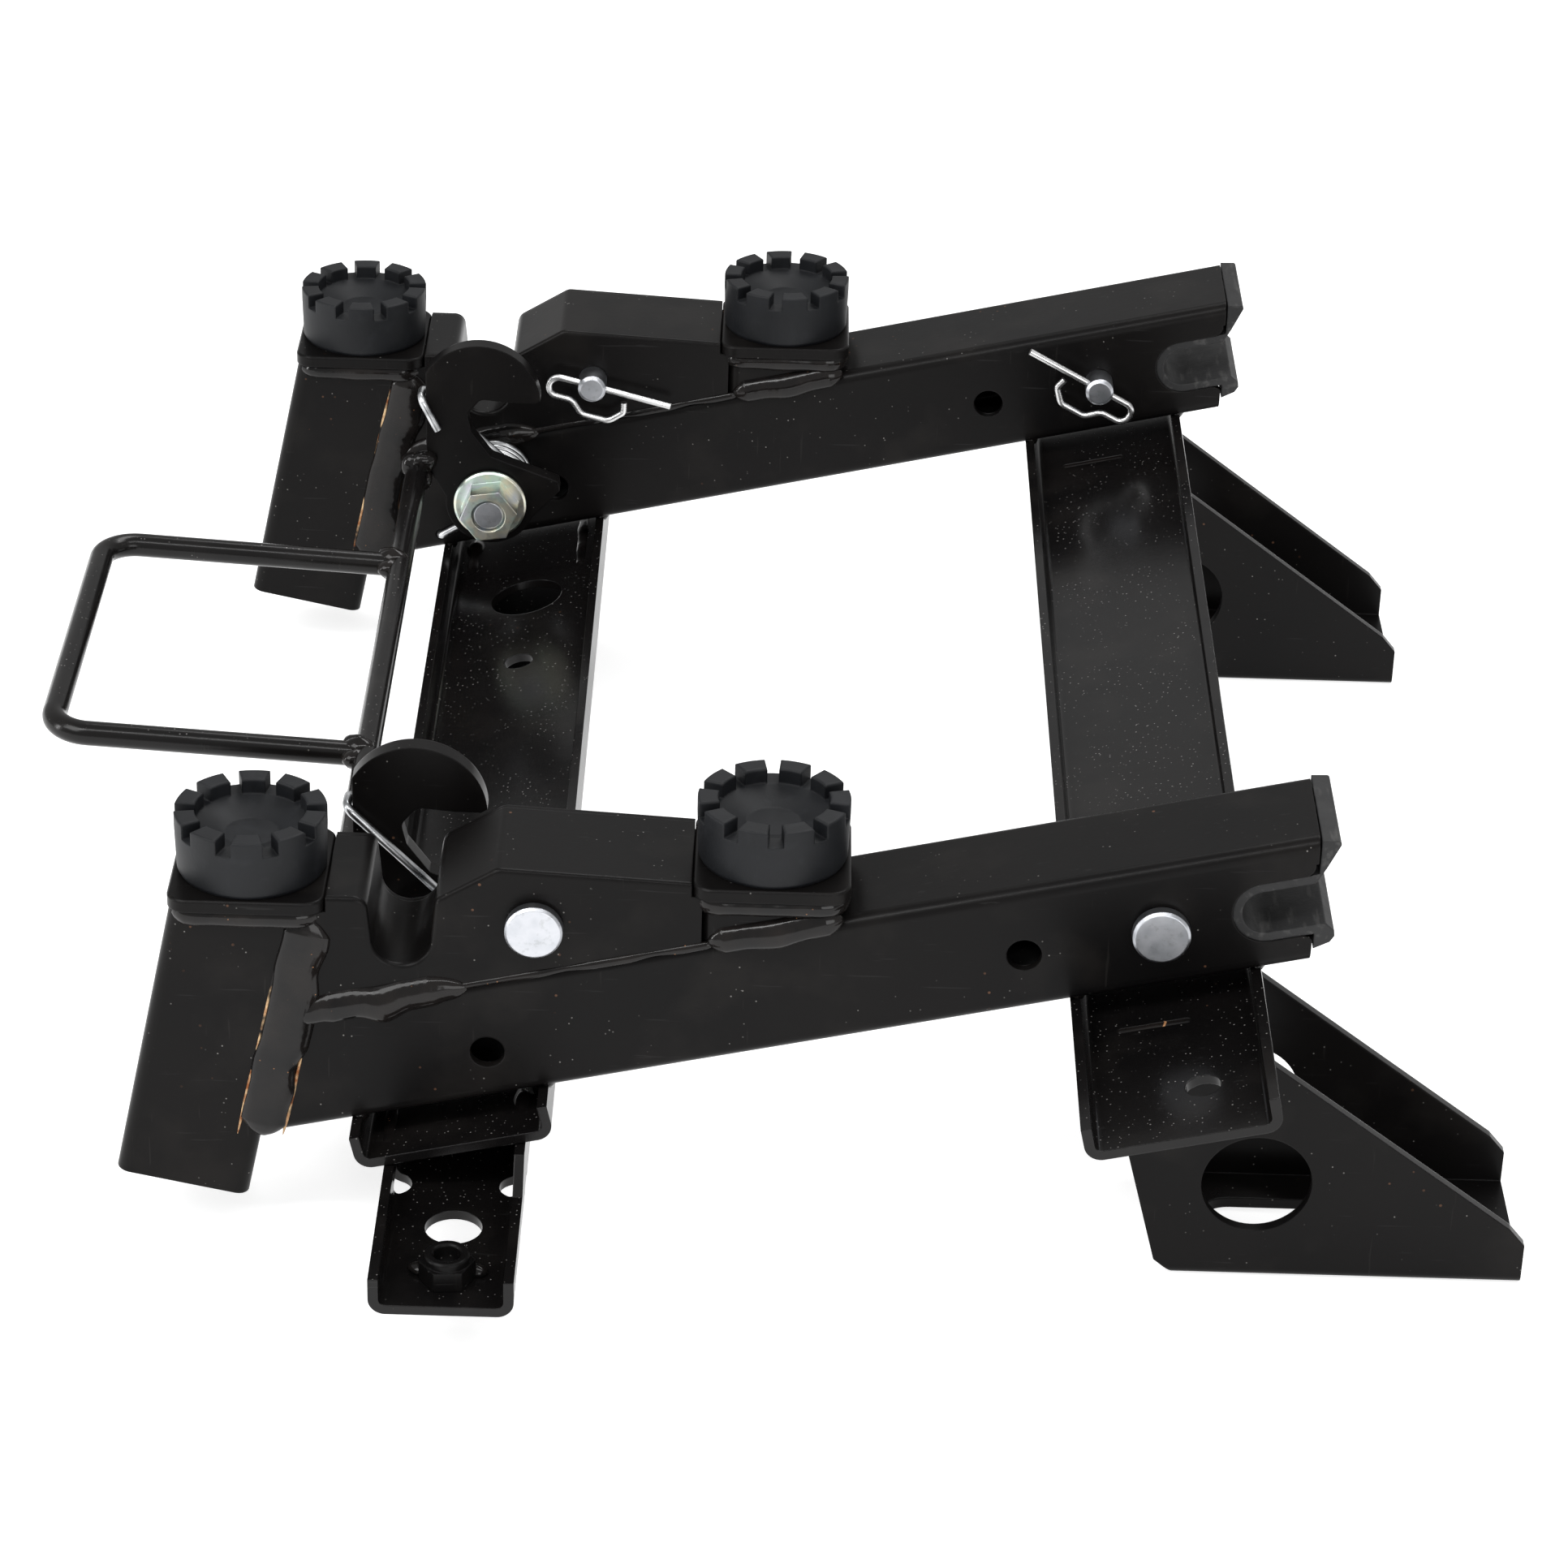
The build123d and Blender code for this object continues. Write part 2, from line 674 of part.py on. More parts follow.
# ---- cross rod and pull handle ----
def make_rods():
    with BuildPart() as rod:
        with BuildSketch(side_plane(0)):
            with Locations(cross_rod):
                Circle(rod_radius)
        extrude(amount=hook_outer_y - 0.3, both=True)
        chamfer(rod.edges().filter_by(GeomType.CIRCLE), 0.8)
    save(rod.part, "cross_rod")
    start_x = cross_rod[0] - rod_radius - 0.2
    with BuildPart() as handle:
        with BuildLine() as path:
            FilletPolyline(
                (start_x, -handle_half, cross_rod[1]),
                (handle_tip[0], -handle_half, handle_tip[1]),
                (handle_tip[0], handle_half, handle_tip[1]),
                (start_x, handle_half, cross_rod[1]),
                radius=handle_bend,
            )
        with BuildSketch(Plane(origin=path.line @ 0, z_dir=path.line % 0)):
            Circle(rod_radius)
        sweep()
    save(handle.part, "pull_handle")


# ---- torsion springs: close-wound coil, one leg over the hook's edge, one leg anchored in the rail ----
def tangent_angle(point, turn):
    """Angle on the coil where the line to a point leaves it, on the side given by turn."""
    dx = point[0] - pivot[0]
    dz = point[1] - pivot[1]
    return math.atan2(dz, dx) + turn * math.acos(spring_radius / math.hypot(dx, dz))


def make_springs():
    near, far = spring_coil
    start = tangent_angle(spring_hook_point, -1)
    end = tangent_angle(spring_anchor, 1)
    turns = (start - end) / (2 * math.pi) + spring_full_turns
    upper_run = math.sqrt(math.dist(spring_hook_point, pivot) ** 2 - spring_radius**2)
    lower_run = math.sqrt(math.dist(spring_anchor, pivot) ** 2 - spring_radius**2)
    inner_y = -(hook_inner_y - spring_wire - pivot_play)
    start_direction = (math.cos(start), 0, math.sin(start))
    coil_plane = Plane(origin=(pivot[0], -near, pivot[1]), x_dir=start_direction, z_dir=(0, -1, 0))
    coil = coil_plane * Helix((far - near) / turns, far - near, spring_radius, lefthand=True)
    hook_corner = coil @ 0 - (coil % 0) * upper_run
    anchor_corner = coil @ 1 + (coil % 1) * lower_run
    with BuildLine() as upper_leg:
        FilletPolyline(
            (hook_corner.X + 6, inner_y, hook_corner.Z - 12),
            (hook_corner.X, inner_y, hook_corner.Z),
            hook_corner,
            coil @ 0,
            radius=3,
        )
    with BuildLine() as lower_leg:
        FilletPolyline(
            coil @ 1,
            anchor_corner,
            (anchor_corner.X, -inner_face_y - tube_wall - 1, anchor_corner.Z),
            radius=1.5,
        )
    wire = Wire([*upper_leg.edges(), *coil.edges(), *lower_leg.edges()])
    with BuildPart() as spring:
        with BuildSketch(Plane(origin=wire @ 0, z_dir=wire % 0)):
            Circle(spring_wire)
        sweep(path=wire)
    save(spring.part, "torsion_spring_left")
    with BuildPart() as mirrored:
        mirror(spring.part, about=Plane.XZ)
    save(mirrored.part, "torsion_spring_right")


# ---- the assembly: one of each per side, then the pieces that span both ----
tooth_angles = {"front_left": 93, "rear_left": 110, "front_right": 92, "rear_right": 98}
for side, side_sign in (("left", -1), ("right", 1)):
    make_rail(side, side_sign)
    make_leg(side, side_sign)
    make_post(side, side_sign)
    make_saddle(side, side_sign)
    make_foot(side, side_sign)
    make_wedge(side, side_sign)
    make_liner(side, side_sign)
    make_pivot(side, side_sign)
    make_hook(side, side_sign)
    for end, pad_place, pin_place, clip_direction in (
        ("front", front_pad, front_pin, front_clip_direction),
        ("rear", rear_pad, rear_pin, rear_clip_directions[side_sign]),
    ):
        place = f"{end}_{side}"
        make_cap_plate(place, pad_place, side_sign)
        make_pad(place, pad_place, side_sign, tooth_angles[place])
        make_pin(place, pin_place, side_sign, clip_direction)
        make_clip(place, pin_place, side_sign, clip_direction)

make_channel(
    "front_channel", front_channel_u, front_channel_width, front_channel_half, front_channel_holes
)
make_channel("rear_channel", rear_channel_u, rear_channel_width, rear_channel_half, rear_channel_holes)
make_rods()
make_springs()
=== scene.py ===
"""Looks for the latching mount frame: finishes, weld beads, spatter, studio and camera, in metres."""
import json
import math
import random

import bpy
from mathutils import Matrix, Vector


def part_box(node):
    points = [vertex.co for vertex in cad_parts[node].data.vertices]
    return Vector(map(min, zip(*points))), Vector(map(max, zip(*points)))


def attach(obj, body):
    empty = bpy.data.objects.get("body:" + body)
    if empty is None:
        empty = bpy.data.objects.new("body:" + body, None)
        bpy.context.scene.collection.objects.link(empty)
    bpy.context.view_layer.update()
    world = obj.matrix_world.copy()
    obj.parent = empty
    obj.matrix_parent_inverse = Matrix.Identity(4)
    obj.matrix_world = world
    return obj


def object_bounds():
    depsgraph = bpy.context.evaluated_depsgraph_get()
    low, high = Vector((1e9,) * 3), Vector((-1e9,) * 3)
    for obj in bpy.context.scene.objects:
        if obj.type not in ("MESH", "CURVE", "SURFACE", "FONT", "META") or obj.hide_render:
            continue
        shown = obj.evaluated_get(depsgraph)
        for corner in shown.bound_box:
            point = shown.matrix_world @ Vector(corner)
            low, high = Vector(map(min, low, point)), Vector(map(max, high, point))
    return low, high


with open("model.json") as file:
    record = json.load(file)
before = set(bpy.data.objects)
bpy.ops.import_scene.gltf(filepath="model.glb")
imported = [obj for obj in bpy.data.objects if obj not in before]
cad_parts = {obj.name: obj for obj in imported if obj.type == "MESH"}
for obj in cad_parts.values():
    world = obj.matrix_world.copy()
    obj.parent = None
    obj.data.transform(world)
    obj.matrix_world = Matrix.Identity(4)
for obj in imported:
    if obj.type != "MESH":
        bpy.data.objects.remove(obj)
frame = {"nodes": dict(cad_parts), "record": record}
cad_low, cad_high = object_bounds()
nodes = frame["nodes"]
slot_of = {part["node"]: part["material_slot"] for part in frame["record"]["subparts"]}

MM = 0.001
SIDES = (("left", -1), ("right", 1))
TUBE = 40 * MM
RAIL_TILT = math.radians(13)
LEG_LEAN = math.radians(11.5)
CHANNEL_DEPTH = 11 * MM
HANDLE_ARM_Y = 67.5 * MM
LEG_FOOT_Z = 40 * MM


# ---- places worked out from the CAD nodes' boxes ----
def rail_top(x):
    """Height of the rail's top face at x."""
    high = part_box("side_rail_left")[1]
    return high.z - (high.x - x) * math.tan(RAIL_TILT)


def rail_under(x):
    """Height of the rail's lower face at x."""
    return rail_top(x) - TUBE / math.cos(RAIL_TILT)


def leg_rear_x(z):
    """Place of the leg's rear face at height z."""
    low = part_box("leg_left")[0]
    return low.x + TUBE * math.cos(LEG_LEAN) + (z - low.z) * math.tan(LEG_LEAN)


RAIL_OUTER = abs(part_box("side_rail_left")[0].y)
RAIL_INNER = RAIL_OUTER - TUBE


# ---- material building blocks ----
class Nodes:
    """A short way to add and join shader nodes of one material."""

    def __init__(self, name):
        self.material = bpy.data.materials.new(name)
        self.material.use_nodes = True
        self.tree = self.material.node_tree
        self.shader = self.tree.nodes["Principled BSDF"]
        self.where = self.add("ShaderNodeTexCoord").outputs["Object"]

    def add(self, kind, **values):
        node = self.tree.nodes.new(kind)
        for key, value in values.items():
            setattr(node, key, value)
        return node

    def join(self, source, target):
        self.tree.links.new(source, target)

    def noise(self, scale, detail=3.0, stretch=(1, 1, 1), turn=(0, 0, 0)):
        """Noise of a scale per metre, stretched and turned."""
        mapping = self.add("ShaderNodeMapping")
        mapping.inputs["Scale"].default_value = stretch
        mapping.inputs["Rotation"].default_value = turn
        self.join(self.where, mapping.inputs["Vector"])
        noise = self.add("ShaderNodeTexNoise")
        noise.inputs["Scale"].default_value = scale
        noise.inputs["Detail"].default_value = detail
        self.join(mapping.outputs["Vector"], noise.inputs["Vector"])
        return noise.outputs["Fac"]

    def cells(self, scale, feature="F1"):
        cells = self.add("ShaderNodeTexVoronoi", feature=feature)
        cells.inputs["Scale"].default_value = scale
        self.join(self.where, cells.inputs["Vector"])
        return cells.outputs["Distance"]

    def ramp(self, source, stops):
        """Grey or colour ramp over (position, colour) stops."""
        ramp = self.add("ShaderNodeValToRGB")
        elements = ramp.color_ramp.elements
        while len(elements) < len(stops):
            elements.new(0.5)
        for element, (position, colour) in zip(elements, stops):
            element.position = position
            element.color = colour if len(colour) == 4 else (*colour, 1)
        self.join(source, ramp.inputs["Fac"])
        return ramp.outputs["Color"]

    def facing_up(self):
        """1 on faces that look upward, 0 on the rest."""
        parts = self.add("ShaderNodeSeparateXYZ")
        self.join(self.add("ShaderNodeNewGeometry").outputs["Normal"], parts.inputs[0])
        return self.mask(parts.outputs["Z"], 0.70, 0.92)

    def mask(self, source, low, high):
        return self.ramp(source, [(low, (0, 0, 0)), (high, (1, 1, 1))])

    def times(self, first, second):
        node = self.add("ShaderNodeMath", operation="MULTIPLY")
        for target, source in zip(node.inputs, (first, second)):
            if isinstance(source, (int, float)):
                target.default_value = source
            else:
                self.join(source, target)
        return node.outputs[0]

    def mix(self, factor, first, second):
        """Colour mix; first and second are colours or sockets."""
        node = self.add("ShaderNodeMix", data_type="RGBA")
        self.join(factor, node.inputs["Factor"])
        for key, source in (("A", first), ("B", second)):
            target = [s for s in node.inputs if s.name == key and s.type == "RGBA"][0]
            if isinstance(source, tuple):
                target.default_value = (*source, 1)
            else:
                self.join(source, target)
        return [s for s in node.outputs if s.type == "RGBA"][0]

    def spread(self, source, low, high):
        """Number between low and high."""
        node = self.add("ShaderNodeMapRange")
        node.inputs["To Min"].default_value = low
        node.inputs["To Max"].default_value = high
        self.join(source, node.inputs["Value"])
        return node.outputs["Result"]

    def bump(self, layers, edge=0.0):
        """Bump layers of (height, strength, distance), over rounded edges of radius edge."""
        normal = None
        if edge:
            round_edge = self.add("ShaderNodeBevel", samples=6)
            round_edge.inputs["Radius"].default_value = edge
            normal = round_edge.outputs["Normal"]
        for height, strength, distance in layers:
            node = self.add("ShaderNodeBump")
            node.inputs["Strength"].default_value = strength
            node.inputs["Distance"].default_value = distance
            self.join(height, node.inputs["Height"])
            if normal:
                self.join(normal, node.inputs["Normal"])
            normal = node.outputs["Normal"]
        self.join(normal, self.shader.inputs["Normal"])

    def finish(self, colour, roughness, metallic=0.0, **plain):
        self.join(colour, self.shader.inputs["Base Color"])
        self.join(roughness, self.shader.inputs["Roughness"])
        self.shader.inputs["Metallic"].default_value = metallic
        for key, value in plain.items():
            self.shader.inputs[key.replace("_", " ")].default_value = value
        return self.material


# ---- materials ----
def powder_coat(name, gloss=0.0, edge=0.7 * MM):
    """Semi-gloss black powder coat: orange peel, cloudy wear, hair scratches, dust and pin-head chips.

    A coat with added gloss also has lint on its upward faces.
    """
    m = Nodes(name)
    clouds = m.noise(14, 4)
    stains = m.mask(m.noise(34, 5), 0.52, 0.66)
    hairs = m.mask(m.noise(900, 2, stretch=(0.05, 1, 1), turn=(0.3, 0.5, 0.2)), 0.70, 0.74)
    hairs_across = m.mask(m.noise(700, 2, stretch=(1, 1, 0.06), turn=(0.2, -0.3, 0.4)), 0.71, 0.75)
    dust_place = m.mask(m.noise(60, 2), 0.50, 0.62)
    dust = m.times(m.ramp(m.cells(330), [(0.06, (1, 1, 1)), (0.10, (0, 0, 0))]), dust_place)
    chip_place = m.mask(m.noise(22, 3), 0.60, 0.66)
    chips = m.times(m.ramp(m.cells(210), [(0.08, (1, 1, 1)), (0.11, (0, 0, 0))]), chip_place)
    base = m.ramp(clouds, [(0.3, (0.0030, 0.0028, 0.0029)), (0.7, (0.0050, 0.0044, 0.0042))])
    base = m.mix(m.times(stains, 0.35), base, (0.013, 0.0115, 0.0105))
    base = m.mix(m.times(hairs, 0.08), base, (0.08, 0.08, 0.08))
    base = m.mix(m.times(hairs_across, 0.06), base, (0.08, 0.075, 0.07))
    base = m.mix(m.times(dust, 0.38), base, (0.36, 0.35, 0.33))
    if gloss:
        lint_dots = m.ramp(m.cells(520), [(0.09, (1, 1, 1)), (0.15, (0, 0, 0))])
        lint = m.times(lint_dots, m.mask(m.noise(45, 3), 0.42, 0.60))
        base = m.mix(m.times(m.times(lint, m.facing_up()), 0.55), base, (0.30, 0.29, 0.28))
    base = m.mix(m.times(chips, 0.28), base, (0.28, 0.14, 0.08))
    rough = m.spread(m.noise(26, 5), 0.24 - gloss, 0.36 - gloss)
    peel = m.noise(620, 2)
    waves = m.noise(110, 2)
    m.bump([(peel, 0.10, 0.12 * MM), (clouds, 0.10, 0.5 * MM), (waves, 0.06, 0.4 * MM)], edge)
    return m.finish(base, rough, Specular_IOR_Level=0.10 + 1.4 * gloss)


def weld_coat(name, cracked):
    """Thick glossy coat over a weld, with rust and primer showing in fine cracks where it is cracked."""
    m = Nodes(name)
    clouds = m.noise(90, 4)
    base = m.ramp(clouds, [(0.35, (0.0045, 0.0042, 0.0042)), (0.7, (0.010, 0.0082, 0.0075))])
    if cracked:
        crack = m.ramp(m.cells(52, "DISTANCE_TO_EDGE"), [(0.006, (1, 1, 1)), (0.016, (0, 0, 0))])
        crack = m.times(crack, m.mask(m.noise(70, 3), 0.50, 0.60))
        rust = m.ramp(m.noise(240, 3), [(0.4, (0.26, 0.09, 0.025)), (0.62, (0.55, 0.38, 0.22))])
        base = m.mix(crack, base, rust)
    speck_dots = m.ramp(m.cells(420), [(0.07, (1, 1, 1)), (0.11, (0, 0, 0))])
    specks = m.times(speck_dots, m.mask(m.noise(120, 2), 0.58, 0.64))
    base = m.mix(m.times(specks, 0.6), base, (0.34, 0.16, 0.07))
    m.bump([(m.noise(200, 2), 0.10, 0.3 * MM), (m.noise(85, 2), 0.42, 1.2 * MM)])
    return m.finish(base, m.spread(clouds, 0.06, 0.18), Specular_IOR_Level=0.24)


def seam_rust():
    """Orange rust and cream primer, in a broken line where the coat pulled away from a weld's edge."""
    m = Nodes("seam_rust")
    rust = m.ramp(m.noise(300, 3), [(0.38, (0.20, 0.065, 0.018)), (0.60, (0.52, 0.36, 0.20))])
    base = m.mix(m.mask(m.noise(120, 3), 0.40, 0.52), (0.006, 0.0055, 0.0055), rust)
    m.bump([(m.noise(700, 3), 0.4, 0.3 * MM)])
    return m.finish(base, m.spread(m.noise(300, 2), 0.5, 0.8), Specular_IOR_Level=0.2)


def pad_rubber():
    """Matte moulded rubber, blue-grey black, with fine mould grain and handling marks."""
    m = Nodes("pad_rubber")
    clouds = m.noise(60, 5)
    base = m.ramp(clouds, [(0.3, (0.0034, 0.0038, 0.0048)), (0.7, (0.0072, 0.0080, 0.0096))])
    smears = m.mask(m.noise(150, 4), 0.56, 0.72)
    base = m.mix(m.times(smears, 0.25), base, (0.018, 0.0195, 0.022))
    m.bump([(m.noise(1500, 2), 0.30, 0.10 * MM), (m.noise(180, 3), 0.15, 0.3 * MM)], 0.9 * MM)
    return m.finish(base, m.spread(clouds, 0.46, 0.62), Specular_IOR_Level=0.24)


def liner_rubber():
    """Harder extruded rubber, scuffed along its length."""
    m = Nodes("liner_rubber")
    scuffs = m.mask(m.noise(420, 3, stretch=(1, 0.2, 1)), 0.54, 0.70)
    base = m.ramp(m.noise(80, 4), [(0.3, (0.0085, 0.0085, 0.0088)), (0.7, (0.016, 0.016, 0.0165))])
    base = m.mix(m.times(scuffs, 0.35), base, (0.085, 0.083, 0.080))
    m.bump([(m.noise(900, 3), 0.35, 0.15 * MM), (scuffs, 0.12, 0.10 * MM)], 0.8 * MM)
    return m.finish(base, m.spread(m.noise(200, 3), 0.42, 0.62), Specular_IOR_Level=0.3)


SILVER = [(0.30, (0.40, 0.42, 0.45)), (0.50, (0.54, 0.55, 0.58)), (0.70, (0.46, 0.48, 0.51))]
PASSIVATED = [
    (0.30, (0.52, 0.54, 0.56)),
    (0.46, (0.72, 0.69, 0.56)),
    (0.56, (0.58, 0.69, 0.62)),
    (0.70, (0.64, 0.59, 0.68)),
]


def zinc_plate(name, tints):
    """Bright zinc, clear or with faint yellow, green and violet passivation tints, finely pitted."""
    m = Nodes(name)
    base = m.ramp(m.noise(95, 3), tints)
    spots = m.mask(m.noise(520, 3), 0.58, 0.68)
    base = m.mix(m.times(spots, 0.35), base, (0.30, 0.31, 0.31))
    m.bump([(m.noise(1400, 2), 0.20, 0.08 * MM), (m.noise(260, 3), 0.16, 0.15 * MM)], 0.5 * MM)
    return m.finish(base, m.spread(m.noise(240, 4), 0.24, 0.42), metallic=1.0)


def bright_wire():
    """Bright drawn wire with lengthwise drawing marks."""
    m = Nodes("bright_wire")
    drawn = m.noise(1600, 2, stretch=(0.12, 1, 1))
    base = m.ramp(drawn, [(0.35, (0.64, 0.64, 0.64)), (0.65, (0.74, 0.74, 0.74))])
    m.bump([(drawn, 0.06, 0.03 * MM)])
    return m.finish(base, m.spread(drawn, 0.20, 0.36), metallic=1.0)


def spring_steel():
    """Zinc-plated spring wire: bright, with darker traces between the coils."""
    m = Nodes("spring_steel")
    traces = m.noise(170, 3)
    base = m.ramp(traces, [(0.35, (0.30, 0.31, 0.32)), (0.60, (0.66, 0.67, 0.68))])
    m.bump([(m.noise(1200, 2), 0.15, 0.06 * MM)])
    return m.finish(base, m.spread(traces, 0.22, 0.38), metallic=1.0)


materials = {
    "black_powder_coat": powder_coat("black_powder_coat"),
    "pad_rubber": pad_rubber(),
    "liner_rubber": liner_rubber(),
    "zinc_plate": zinc_plate("zinc_plate", SILVER),
    "bright_wire": bright_wire(),
    "spring_steel": spring_steel(),
}
glossy_coat = powder_coat("glossy_powder_coat", gloss=0.10, edge=0.5 * MM)
cracked_weld = weld_coat("cracked_weld_coat", True)
rust_line = seam_rust()
glossy_weld = weld_coat("glossy_weld_coat", False)
passivated_zinc = zinc_plate("passivated_zinc", PASSIVATED)
GLOSSY_NODES = (
    "cross_rod",
    "pull_handle",
    "front_channel",
    "rear_channel",
    "foot_bracket_left",
    "foot_bracket_right",
)


def dress(node_name):
    """Gives a CAD node its finish; some nodes have a glossier coat or tinted zinc than their slot's."""
    node = nodes[node_name]
    finish = materials[slot_of[node_name]]
    if node_name in GLOSSY_NODES:
        finish = glossy_coat
    if node_name.startswith("flange_nut"):
        finish = passivated_zinc
    node.data.materials.clear()
    node.data.materials.append(finish)


for node_name in nodes:
    dress(node_name)


# ---- weld beads ----
def mesh_piece(name, points, faces, material, body):
    """A smooth-shaded mesh that rides on a body and wears the given material."""
    mesh = bpy.data.meshes.new(name)
    mesh.from_pydata(points, [], faces)
    mesh.update()
    mesh.shade_smooth()
    mesh.materials.append(material)
    piece = bpy.data.objects.new(name, mesh)
    bpy.context.scene.collection.objects.link(piece)
    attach(piece, body)
    return piece


def along(points, count):
    """Evenly spaced stations on a polyline, with the direction at each."""
    runs = [(b - a).length for a, b in zip(points, points[1:])]
    total = sum(runs)
    stations = []
    for step in range(count + 1):
        distance = total * step / count
        index = 0
        while index < len(runs) - 1 and distance > runs[index]:
            distance -= runs[index]
            index += 1
        start, end = points[index], points[index + 1]
        stations.append((start.lerp(end, min(1, distance / runs[index])), (end - start).normalized()))
    return stations, total


RING = 14
RIPPLE = 2.6 * MM
WANDER = 9 * MM
STATION = 0.55 * MM


def bead(name, points, width, rise, out, seed, material=glossy_weld, blunt=0.5, uneven=0.16):
    """One weld bead on the frame: a rippled, rounded ridge along a seam, sunk half-way into both pieces."""
    rng = random.Random(seed)
    length = sum((b - a).length for a, b in zip(points, points[1:]))
    count = max(10, int(length / STATION))
    stations, total = along(points, count)
    bends = max(2, round(total / WANDER))
    wander = [rng.uniform(-1, 1) for _ in range(bends + 2)]
    verts, faces = [], []
    for index, (place, direction) in enumerate(stations):
        side = direction.cross(out).normalized()
        up = side.cross(direction).normalized()
        t = index / count
        bend = min(bends - 1, int(t * bends))
        part = t * bends - bend
        slow = wander[bend] + (wander[bend + 1] - wander[bend]) * part * part * (3 - 2 * part)
        taper = max(0.04, min(1, math.sin(math.pi * t) / blunt)) ** 0.5
        swell = taper * (1 + uneven * slow)
        for step in range(RING):
            angle = 2 * math.pi * step / RING
            arc = t * total / RIPPLE + 0.35 * math.cos(angle)
            ripple = 1 + 0.012 * math.sin(math.pi * arc) ** 2 * max(0, math.sin(angle))
            across = side * (math.cos(angle) * width / 2 * swell)
            lift = up * (math.sin(angle) * rise * swell * ripple)
            verts.append(place + across + lift + side * (0.08 * width * slow))
    for index in range(count):
        for step in range(RING):
            a = index * RING + step
            b = index * RING + (step + 1) % RING
            faces.append((a, b, b + RING, a + RING))
    faces.append(tuple(range(RING))[::-1])
    faces.append(tuple(range(count * RING, (count + 1) * RING)))
    return mesh_piece(name, verts, faces, material, "frame")


def blob(name, centre, size, seed, body="frame"):
    """One round lump of weld, uneven and a little flattened."""
    rng = random.Random(seed)
    rows, columns = 9, 14
    phase = [rng.uniform(0, 6.28) for _ in range(3)]
    verts, faces = [], []
    for row in range(rows + 1):
        polar = math.pi * row / rows
        for column in range(columns):
            around = 2 * math.pi * column / columns
            grow = 1 + 0.10 * math.sin(2 * around + phase[0]) * math.sin(polar)
            grow += 0.07 * math.sin(3 * polar + phase[1])
            grow += 0.05 * math.sin(5 * around + phase[2]) * math.sin(polar)
            x, y = math.sin(polar) * math.cos(around), math.sin(polar) * math.sin(around)
            direction = Vector((x, y, math.cos(polar)))
            verts.append(centre + Vector([d * s * grow for d, s in zip(direction, size)]))
    for row in range(rows):
        for column in range(columns):
            a = row * columns + column
            b = row * columns + (column + 1) % columns
            faces.append((a, a + columns, b + columns, b))
    return mesh_piece(name, verts, faces, glossy_weld, body)


def rail_point(x, y, above=0.0):
    """A point over the rail's top edge line."""
    return Vector((x, y, rail_top(x) + above))


def leg_welds(side, sign):
    """Wide beads with rust lines down both sides of the joint of leg and rail, and a bead under it."""
    cap_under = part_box(f"cap_plate_front_{side}")[0].z
    for face, y in (("outer", RAIL_OUTER), ("inner", RAIL_INNER)):
        out = Vector((0, sign if face == "outer" else -sign, 0))
        top = Vector((leg_rear_x(cap_under) + 0.5 * MM, sign * y, cap_under - 3 * MM))
        low_z = rail_under(leg_rear_x(rail_under(leg_rear_x(LEG_FOOT_Z))))
        low = Vector((leg_rear_x(low_z), sign * y, low_z + 1 * MM))
        name = f"weld_leg_{face}_{side}"
        bead(name, [low, top], 14 * MM, 2.1 * MM, out, 11 + sign, blunt=0.2, uneven=0.08)
        for edge, shift, share in (("front", -6.9, 0.93), ("rear", 6.9, 0.42)):
            aside = Vector((shift * MM * math.cos(LEG_LEAN), 0, 0))
            line = [end + aside for end in (low, low.lerp(top, share))]
            name = f"weld_leg_{edge}_line_{face}_{side}"
            bead(name, line, 1.1 * MM, 0.4 * MM, out, 13 + sign, rust_line, uneven=0.4)
    low_z = rail_under(leg_rear_x(LEG_FOOT_Z))
    ends = (RAIL_INNER + 3 * MM, RAIL_OUTER - 3 * MM)
    under = [Vector((leg_rear_x(low_z) + 1 * MM, sign * y, low_z)) for y in ends]
    bead(f"weld_leg_under_{side}", under, 7 * MM, 2.2 * MM, Vector((0.3, 0, -1)), 17 + sign)


def saddle_welds(side, sign):
    """Thick beads at both ends of the seam between saddle and rail, with a thin one between them."""
    post_low, post_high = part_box(f"rear_post_{side}")
    seam_start = leg_rear_x(rail_top(-0.14)) + 3 * MM
    for face, y in (("outer", RAIL_OUTER), ("inner", RAIL_INNER)):
        facing = sign if face == "outer" else -sign
        out = Vector((0, facing, 0.25))
        front = [rail_point(seam_start + d * MM, sign * y, -0.4 * MM) for d in (0, 16, 32, 50)]
        name = f"weld_saddle_front_{face}_{side}"
        bead(name, front, 11 * MM, 3.4 * MM, out, 23 + facing, blunt=0.6, uneven=0.1)
        seam = [rail_point(x, sign * y, -0.3 * MM) for x in (seam_start + 44 * MM, post_low.x + 4 * MM)]
        name = f"weld_seam_{face}_{side}"
        bead(name, seam, 2.4 * MM, 0.8 * MM, out, 27 + facing, blunt=0.1, uneven=0.3)
        rear = [rail_point(post_low.x + d * MM, sign * y, 0) for d in (2, 14, 28, 41)]
        name = f"weld_post_{face}_{side}"
        bead(name, rear, 9.5 * MM, 3.2 * MM, out, 29 + facing, blunt=0.35, uneven=0.12)
    ends = (RAIL_INNER + 4 * MM, RAIL_OUTER - 4 * MM)
    behind = [rail_point(post_high.x, sign * y, 0.2 * MM) for y in ends]
    bead(f"weld_post_rear_{side}", behind, 5 * MM, 1.8 * MM, Vector((1, 0, 1)), 31 + sign)


